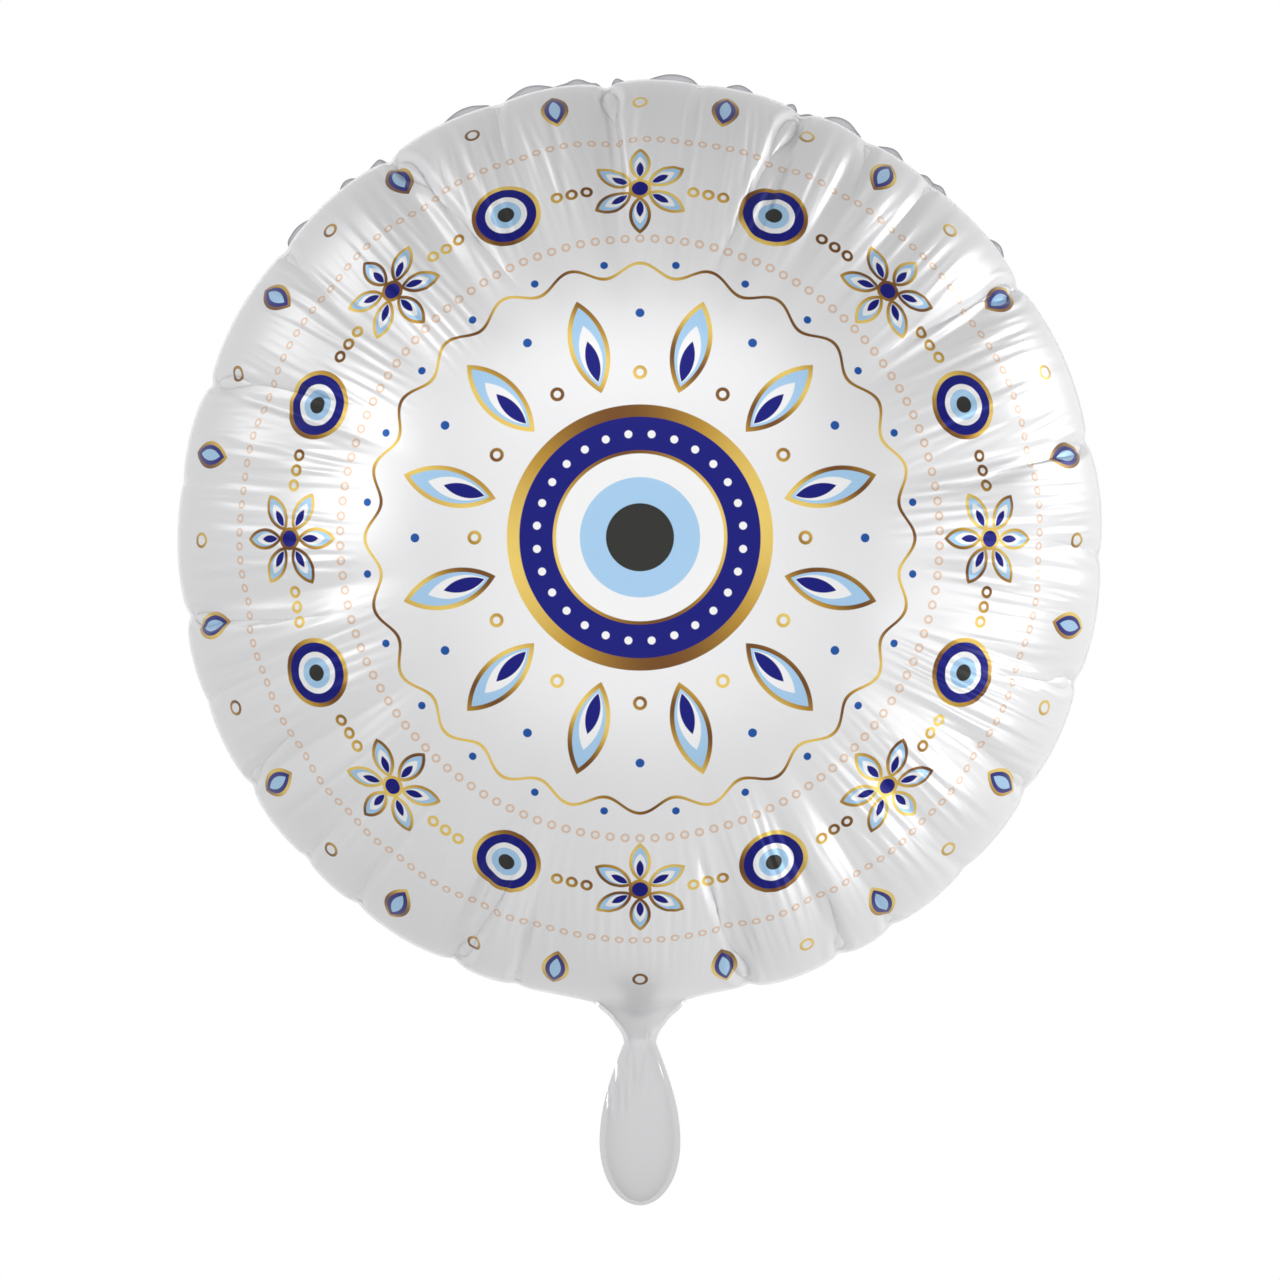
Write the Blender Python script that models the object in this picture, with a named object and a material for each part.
# Round foil balloon with a flat filling tail, blown up and upright.
# Metres, +Z up. The printed front faces -Y. The origin is the waist of the neck, where the
# tail folds and where the balloon is tied or held.
import math

import bpy
import bmesh

# Film
flat_diameter = 0.450          # the empty balloon lying flat, over its sealed rim
seam_margin = 0.0018           # sealed rim outside the gas space
film_thickness = 0.0003        # thicker than the real film, so that it is a solid
valve_thickness = 0.0002
ply_gap = 0.0003               # between films that lie on each other
pole_flat_radius = 0.025       # the middle of each blown disc is flat

# Creases of the blown rim
crease_depth = 0.0048          # how far the deepest crease draws the rim in
crease_reach_share = 0.60      # a crease starts at this share of the radius

# Neck
neck_height = 0.0129           # from the waist up to the sealed rim
neck_top_width = 0.0346
neck_seal_width = 0.0014       # sealed edge on each side of the gas channel
neck_curve = 2.3               # power of the neck's hollow flanks

# Fold at the waist
knuckle_wall = 0.00125         # film gathered round the fold, outside the stack of films
fold_limit = math.radians(115)
fold_clearance = 0.0002        # between the folded tail and the lips of its seat
lip_rise = 0.0036              # height over which the neck film thickens into a lip

# Tail
tail_length = 0.0597
tail_bulb_width = 0.0298
tail_bulb_drop = 0.0365        # from the waist down to the widest place

# Valve sleeve
valve_width = 0.0084
inlet_length = 0.0240          # below the waist, in the tail
inlet_step = 0.0040            # the back inlet film is shorter, to let a nozzle in
sleeve_length = 0.0450         # free end inside the balloon
fill_port_diameter = 0.0070
fill_port_drop = 0.0210        # from the waist down to the filling opening

cut_overrun = 0.0010

# Where each crease stands on the rim, as a share of a turn from +X over +Z, and how deep it
# is as a share of crease_depth. The neck's own two creases are added where its flanks meet
# the rim.
crease_shares = (
    (0.0356, 0.7), (0.0944, 1.0), (0.1410, 0.5), (0.1680, 0.5), (0.1925, 1.0), (0.2290, 0.4),
    (0.2619, 1.0), (0.2994, 0.6), (0.3425, 0.9), (0.3905, 0.8), (0.4439, 1.0), (0.4790, 0.4),
    (0.5255, 0.8), (0.5560, 0.4), (0.5889, 0.9), (0.6203, 0.6), (0.6444, 0.6), (0.6828, 0.8),
    (0.7060, 0.4), (0.7890, 0.4), (0.8219, 0.8), (0.8428, 0.7), (0.8750, 0.4), (0.9094, 0.7),
    (0.9508, 0.8), (0.9950, 0.5),
)
neck_crease_share = 0.5
column_width_share = 1 / 80    # widest column of the film's grid, as a share of a turn
sharp_angle = math.radians(40)
dome_rows = 9
neck_row_shares = (0.93, 0.78, 0.56)
channel_shares = (-1.0, -0.5, 0.0, 0.5, 1.0)   # columns over the open channel of a film
knuckle_rows = 5
blade_rows = 7
tip_rows = 5

# Colours: base colour, roughness, metallic
print_white = ((0.86, 0.86, 0.87, 1), 0.32, 0.35)
silver = ((0.72, 0.72, 0.74, 1), 0.25, 0.85)
clear_film = ((0.80, 0.84, 0.86, 1), 0.45, 0.0)

FRONT = -1
BACK = 1


def profile_depth(tangent, inflated_radius):
    """Half thickness of a blown disc where its film leans by tangent (0 at the pole)."""
    steps = 64
    width = (math.pi / 2 - tangent) / steps
    middles = (tangent + width * (step + 0.5) for step in range(steps))
    return inflated_radius / 2 * width * sum(math.sqrt(math.sin(angle)) for angle in middles)


def arc_share():
    """Length of the blown film from pole to rim, over the blown radius."""
    steps = 400
    width = math.sqrt(math.pi / 2) / steps
    middles = ((step + 0.5) * width for step in range(steps))
    return width * sum(middle / math.sqrt(math.sin(middle ** 2)) for middle in middles)


# The film doesn't stretch, so its length from pole to rim is the flat disc's radius.
seal_radius = flat_diameter / 2 - seam_margin
inflated_radius = seal_radius / arc_share()
centre_height = inflated_radius + seam_margin + neck_height

# The stack of films in the neck and tail, measured from the middle plane.
valve_inner = ply_gap / 2
valve_outer = valve_inner + valve_thickness
channel_depth = valve_outer + ply_gap
stack_half = channel_depth + film_thickness

channel_margin = ply_gap + neck_seal_width
waist_half = valve_width / 2 + channel_margin
knuckle_radius = stack_half + knuckle_wall
seat_radius = knuckle_radius + ply_gap
lip_angle = math.pi - fold_limit - math.asin((stack_half + fold_clearance) / seat_radius)
mouth_height = neck_height + seam_margin + film_thickness   # where the channel meets the gas
film_columns = (-2,) + channel_shares + (2,)                # with the two sealed edges


def smooth_step(share):
    share = min(max(share, 0.0), 1.0)
    return share * share * (3 - 2 * share)


def column_half_width(half_width, column):
    """Place across a channel of a column: a share of the channel, or a sealed edge."""
    if abs(column) > 1:
        return math.copysign(half_width, column)
    return column * (half_width - channel_margin)


def film_lift(column):
    """How far a film stands off its sealed edge to make room for the valve."""
    return 0.0 if abs(column) > 1 else channel_depth - ply_gap / 2


def make_object(name, vertices, faces, finish):
    mesh = bpy.data.meshes.new(name)
    mesh.from_pydata(vertices, [], faces)
    shell = bmesh.new()
    shell.from_mesh(mesh)
    bmesh.ops.recalc_face_normals(shell, faces=shell.faces)
    shell.to_mesh(mesh)
    shell.free()
    mesh.shade_smooth()
    mesh.set_sharp_from_angle(angle=sharp_angle)
    mesh.materials.append(make_material(name, finish))
    item = bpy.data.objects.new(name, mesh)
    bpy.context.scene.collection.objects.link(item)
    return item


def make_material(name, finish):
    colour, roughness, metallic = finish
    material = bpy.data.materials.new(name)
    material.use_nodes = True
    shader = material.node_tree.nodes["Principled BSDF"]
    shader.inputs["Base Color"].default_value = colour
    shader.inputs["Roughness"].default_value = roughness
    shader.inputs["Metallic"].default_value = metallic
    material.diffuse_color = colour
    return material


class Film:
    """Outer and inner points of a film, row by row, and the faces that close it."""

    def __init__(self):
        self.vertices = []
        self.faces = []

    def add_row(self, outer_points, inner_points):
        first = len(self.vertices)
        self.vertices += outer_points + inner_points
        count = len(outer_points)
        outer = list(range(first, first + count))
        inner = list(range(first + count, first + 2 * count))
        return outer, inner

    def add_face(self, corners):
        distinct = list(dict.fromkeys(corners))
        if len(distinct) > 2:
            self.faces.append(distinct)

    def bridge(self, one, two, ring=False):
        for near, far in zip(one, two):
            last = len(near) if ring else len(near) - 1
            for place in range(last):
                after = (place + 1) % len(near)
                self.add_face((near[place], near[after], far[after], far[place]))

    def close_edge(self, outer, inner):
        for place in range(len(outer) - 1):
            self.add_face((outer[place], outer[place + 1], inner[place + 1], inner[place]))


def rim_creases():
    """Creases in order round the rim, from one side of the neck to the other, in radians."""
    edge = inflated_radius + seam_margin
    neck_angle = math.asin(neck_top_width / 2 / edge)
    down = -math.pi / 2
    creases = [(down + neck_angle, neck_crease_share)]
    turn = 2 * math.pi
    placed = [((share * turn - down) % turn + down, depth) for share, depth in crease_shares]
    creases += sorted(placed)
    creases.append((down + turn - neck_angle, neck_crease_share))
    return creases


def scalloped(depth, place):
    """Depth of the rim at a place from 0 to 1 between two creases, bulging half way."""
    return depth * (1 - math.sin(math.pi * place))


def film_grid_columns():
    """Angle, crease depth and neck column of each column of a blown panel."""
    creases = rim_creases()
    columns = []
    for (start, start_depth), (end, end_depth) in zip(creases, creases[1:]):
        steps = max(2, math.ceil((end - start) / (2 * math.pi * column_width_share)))
        for step in range(steps):
            place = step / steps
            depth = start_depth if place < 0.5 else end_depth
            columns.append((start + (end - start) * place, scalloped(depth, place)))
    edge = inflated_radius + seam_margin
    neck = []
    for column in film_columns:
        across = column_half_width(neck_top_width / 2, column)
        place = across / neck_top_width + 0.5
        angle = -math.pi / 2 + math.asin(across / edge)
        neck.append((angle, scalloped(neck_crease_share, place)))
    # The neck's columns come first, and the last of them is also the first crease.
    return neck + columns[1:], len(neck)


def neck_half_width(share):
    return waist_half + (neck_top_width / 2 - waist_half) * share ** neck_curve


def make_panel(name, side, finish):
    columns, neck_count = film_grid_columns()
    lifts = [film_lift(column) for column in film_columns]
    film = Film()
    first_tangent = math.asin((pole_flat_radius / inflated_radius) ** 2)
    first_row = math.sqrt(first_tangent / (math.pi / 2))
    dome = []
    for row in range(dome_rows + 1):
        place = first_row + (1 - first_row) * row / dome_rows
        tangent = math.pi / 2 * place ** 2
        radius = inflated_radius * math.sqrt(math.sin(tangent))
        depth = profile_depth(tangent, inflated_radius)
        reach = radius / inflated_radius - crease_reach_share
        fade = smooth_step(reach / (1 - crease_reach_share))
        outer_points = []
        inner_points = []
        for index, (angle, crease) in enumerate(columns):
            lift = lifts[index] * smooth_step(place) ** 4 if index < neck_count else 0.0
            draw = crease_depth * crease * fade
            outer_radius = radius - draw * math.sin(tangent)
            outer_depth = depth + ply_gap / 2 + film_thickness - draw * math.cos(tangent) + lift
            inner_radius = outer_radius - film_thickness * math.sin(tangent)
            inner_depth = outer_depth - film_thickness * math.cos(tangent)
            if row == dome_rows:
                inner_depth = ply_gap / 2 + lift
            outer_points.append(panel_point(side, outer_radius, angle, outer_depth))
            inner_points.append(panel_point(side, inner_radius, angle, inner_depth))
        dome.append(film.add_row(outer_points, inner_points))
    film.add_face(dome[0][0])
    film.add_face(dome[0][1])
    outer_points = []
    inner_points = []
    for index, (angle, crease) in enumerate(columns):
        lift = lifts[index] if index < neck_count else 0.0
        radius = inflated_radius + seam_margin - crease_depth * crease
        outer_points.append(panel_point(side, radius, angle, ply_gap / 2 + film_thickness + lift))
        inner_points.append(panel_point(side, radius, angle, ply_gap / 2 + lift))
    edge = film.add_row(outer_points, inner_points)
    dome.append(edge)
    for one, two in zip(dome, dome[1:]):
        film.bridge(one, two, ring=True)
    ring_outer = edge[0][neck_count - 1:] + edge[0][:1]
    ring_inner = edge[1][neck_count - 1:] + edge[1][:1]
    film.close_edge(ring_outer, ring_inner)
    add_neck(film, side, [half[:neck_count] for half in edge], lifts)
    return make_object(name, film.vertices, film.faces, finish)


def panel_point(side, radius, angle, depth):
    return (radius * math.cos(angle), side * depth, centre_height + radius * math.sin(angle))


def add_neck(film, side, top, lifts):
    """Hangs the neck under the sealed rim, down to the lip over the fold."""
    tops = [film.vertices[corner][2] for corner in top[0]]
    rise_share = lip_rise / neck_height
    rows = [top]
    for share in neck_row_shares + (rise_share, 0.0):
        half_width = neck_half_width(share)
        outer_points = []
        inner_points = []
        for column, lift, top_height in zip(film_columns, lifts, tops):
            across = column_half_width(half_width, column)
            inner_depth = ply_gap / 2 + lift
            height = seat_radius + share * (top_height - seat_radius)
            outer_depth = inner_depth + film_thickness
            outer_height = height
            if share == 0.0:
                height = math.sqrt(seat_radius ** 2 - inner_depth ** 2)
                outer_depth = seat_radius * math.sin(lip_angle)
                outer_height = seat_radius * math.cos(lip_angle)
            outer_points.append((across, side * outer_depth, outer_height))
            inner_points.append((across, side * inner_depth, height))
        rows.append(film.add_row(outer_points, inner_points))
    for one, two in zip(rows, rows[1:]):
        film.bridge(one, two)
    film.close_edge(*rows[-1])
    for end in (0, -1):
        film.close_edge([row[0][end] for row in rows], [row[1][end] for row in rows])


def tail_half_width(drop):
    if drop > tail_bulb_drop:
        share = (drop - tail_bulb_drop) / (tail_length - tail_bulb_drop)
        return tail_bulb_width / 2 * math.sqrt(max(1 - share ** 2, 0.0))
    share = max(drop - knuckle_radius, 0.0) / (tail_bulb_drop - knuckle_radius)
    return waist_half + (tail_bulb_width / 2 - waist_half) * math.sin(math.pi / 2 * share)


def make_tail(name, side, finish):
    """One film of the tail, with half of the knuckle that turns in the neck's seat."""
    film = Film()
    rows = []
    first_angle = math.asin(stack_half / knuckle_radius)
    last_angle = math.pi - first_angle
    for row in range(knuckle_rows + 1):
        angle = first_angle + (last_angle - first_angle) * row / knuckle_rows
        height = knuckle_radius * math.cos(angle)
        rows.append((height, knuckle_radius * math.sin(angle)))
    blade_top = -rows[-1][0]
    for row in range(1, blade_rows + 1):
        drop = blade_top + (tail_bulb_drop - blade_top) * row / blade_rows
        rows.append((-drop, None))
    for row in range(1, tip_rows):
        turn = math.pi / 2 * row / tip_rows
        drop = tail_bulb_drop + (tail_length - tail_bulb_drop) * math.sin(turn)
        rows.append((-drop, None))
    made = []
    for height, knuckle_depth in rows:
        half_width = tail_half_width(-height)
        outer_points = []
        inner_points = []
        for column in film_columns:
            across = column_half_width(half_width, column)
            inner_depth = ply_gap / 2 + film_lift(column)
            outer_depth = knuckle_depth or inner_depth + film_thickness
            outer_points.append((across, side * outer_depth, height))
            inner_points.append((across, side * inner_depth, height))
        made.append(film.add_row(outer_points, inner_points))
    tip_outer = (0, side * (ply_gap / 2 + film_thickness), -tail_length)
    tip_inner = (0, side * ply_gap / 2, -tail_length)
    tip = film.add_row([tip_outer], [tip_inner])
    made.append([half * len(film_columns) for half in tip])
    for one, two in zip(made, made[1:]):
        film.bridge(one, two)
    film.close_edge(*made[0])
    for end in (0, -1):
        film.close_edge([row[0][end] for row in made], [row[1][end] for row in made])
    return make_object(name, film.vertices, film.faces, finish)


def cut_fill_port(tail):
    """Round filling opening in the back film, behind the mouth of the valve's inlet."""
    shell = bmesh.new()
    bmesh.ops.create_cone(
        shell, cap_ends=True, segments=24, radius1=fill_port_diameter / 2,
        radius2=fill_port_diameter / 2, depth=film_thickness + 2 * cut_overrun)
    mesh = bpy.data.meshes.new("fill_port_cutter")
    shell.to_mesh(mesh)
    shell.free()
    cutter = bpy.data.objects.new("fill_port_cutter", mesh)
    bpy.context.scene.collection.objects.link(cutter)
    cutter.location = (0, channel_depth + film_thickness / 2, -fill_port_drop)
    cutter.rotation_euler = (math.pi / 2, 0, 0)
    cutter.hide_render = True
    cutter.display_type = "WIRE"
    cut = tail.modifiers.new("fill_port", "BOOLEAN")
    cut.operation = "DIFFERENCE"
    cut.solver = "EXACT"
    cut.object = cutter


def make_strip(name, side, bottom, top, finish):
    """One film of the valve, standing between two heights."""
    half_width = valve_width / 2
    near = side * valve_inner
    far = side * valve_outer
    corners = [(-half_width, near), (half_width, near), (half_width, far), (-half_width, far)]
    vertices = [(x, y, bottom) for x, y in corners] + [(x, y, top) for x, y in corners]
    faces = [(0, 1, 2, 3), (4, 5, 6, 7)]
    faces += [(place, (place + 1) % 4, (place + 1) % 4 + 4, place + 4) for place in range(4)]
    return make_object(name, vertices, faces, finish)


def place_on_axis(item, pivot):
    """Moves an object's origin onto its joint's axis, with its shape left where it is."""
    for vertex in item.data.vertices:
        vertex.co.x -= pivot[0]
        vertex.co.y -= pivot[1]
        vertex.co.z -= pivot[2]
    item.location = pivot


def main():
    for item in list(bpy.data.objects):
        bpy.data.objects.remove(item)
    make_panel("front_panel", FRONT, print_white)
    make_panel("back_panel", BACK, silver)
    make_tail("tail_front", FRONT, print_white)
    cut_fill_port(make_tail("tail_back", BACK, silver))
    neck_foot = math.sqrt(seat_radius ** 2 - valve_inner ** 2)
    knuckle_top = knuckle_radius * math.cos(math.asin(stack_half / knuckle_radius))
    for word, side in (("front", FRONT), ("back", BACK)):
        inlet_end = inlet_length - (inlet_step if side == BACK else 0)
        make_strip("valve_inlet_" + word, side, -inlet_end, knuckle_top, clear_film)
        make_strip("valve_neck_" + word, side, neck_foot, mouth_height, clear_film)
        sleeve_foot = mouth_height + ply_gap
        sleeve = make_strip(
            "valve_sleeve_" + word, side, sleeve_foot, sleeve_foot + sleeve_length, clear_film)
        place_on_axis(sleeve, (0, side * valve_outer, sleeve_foot))


main()
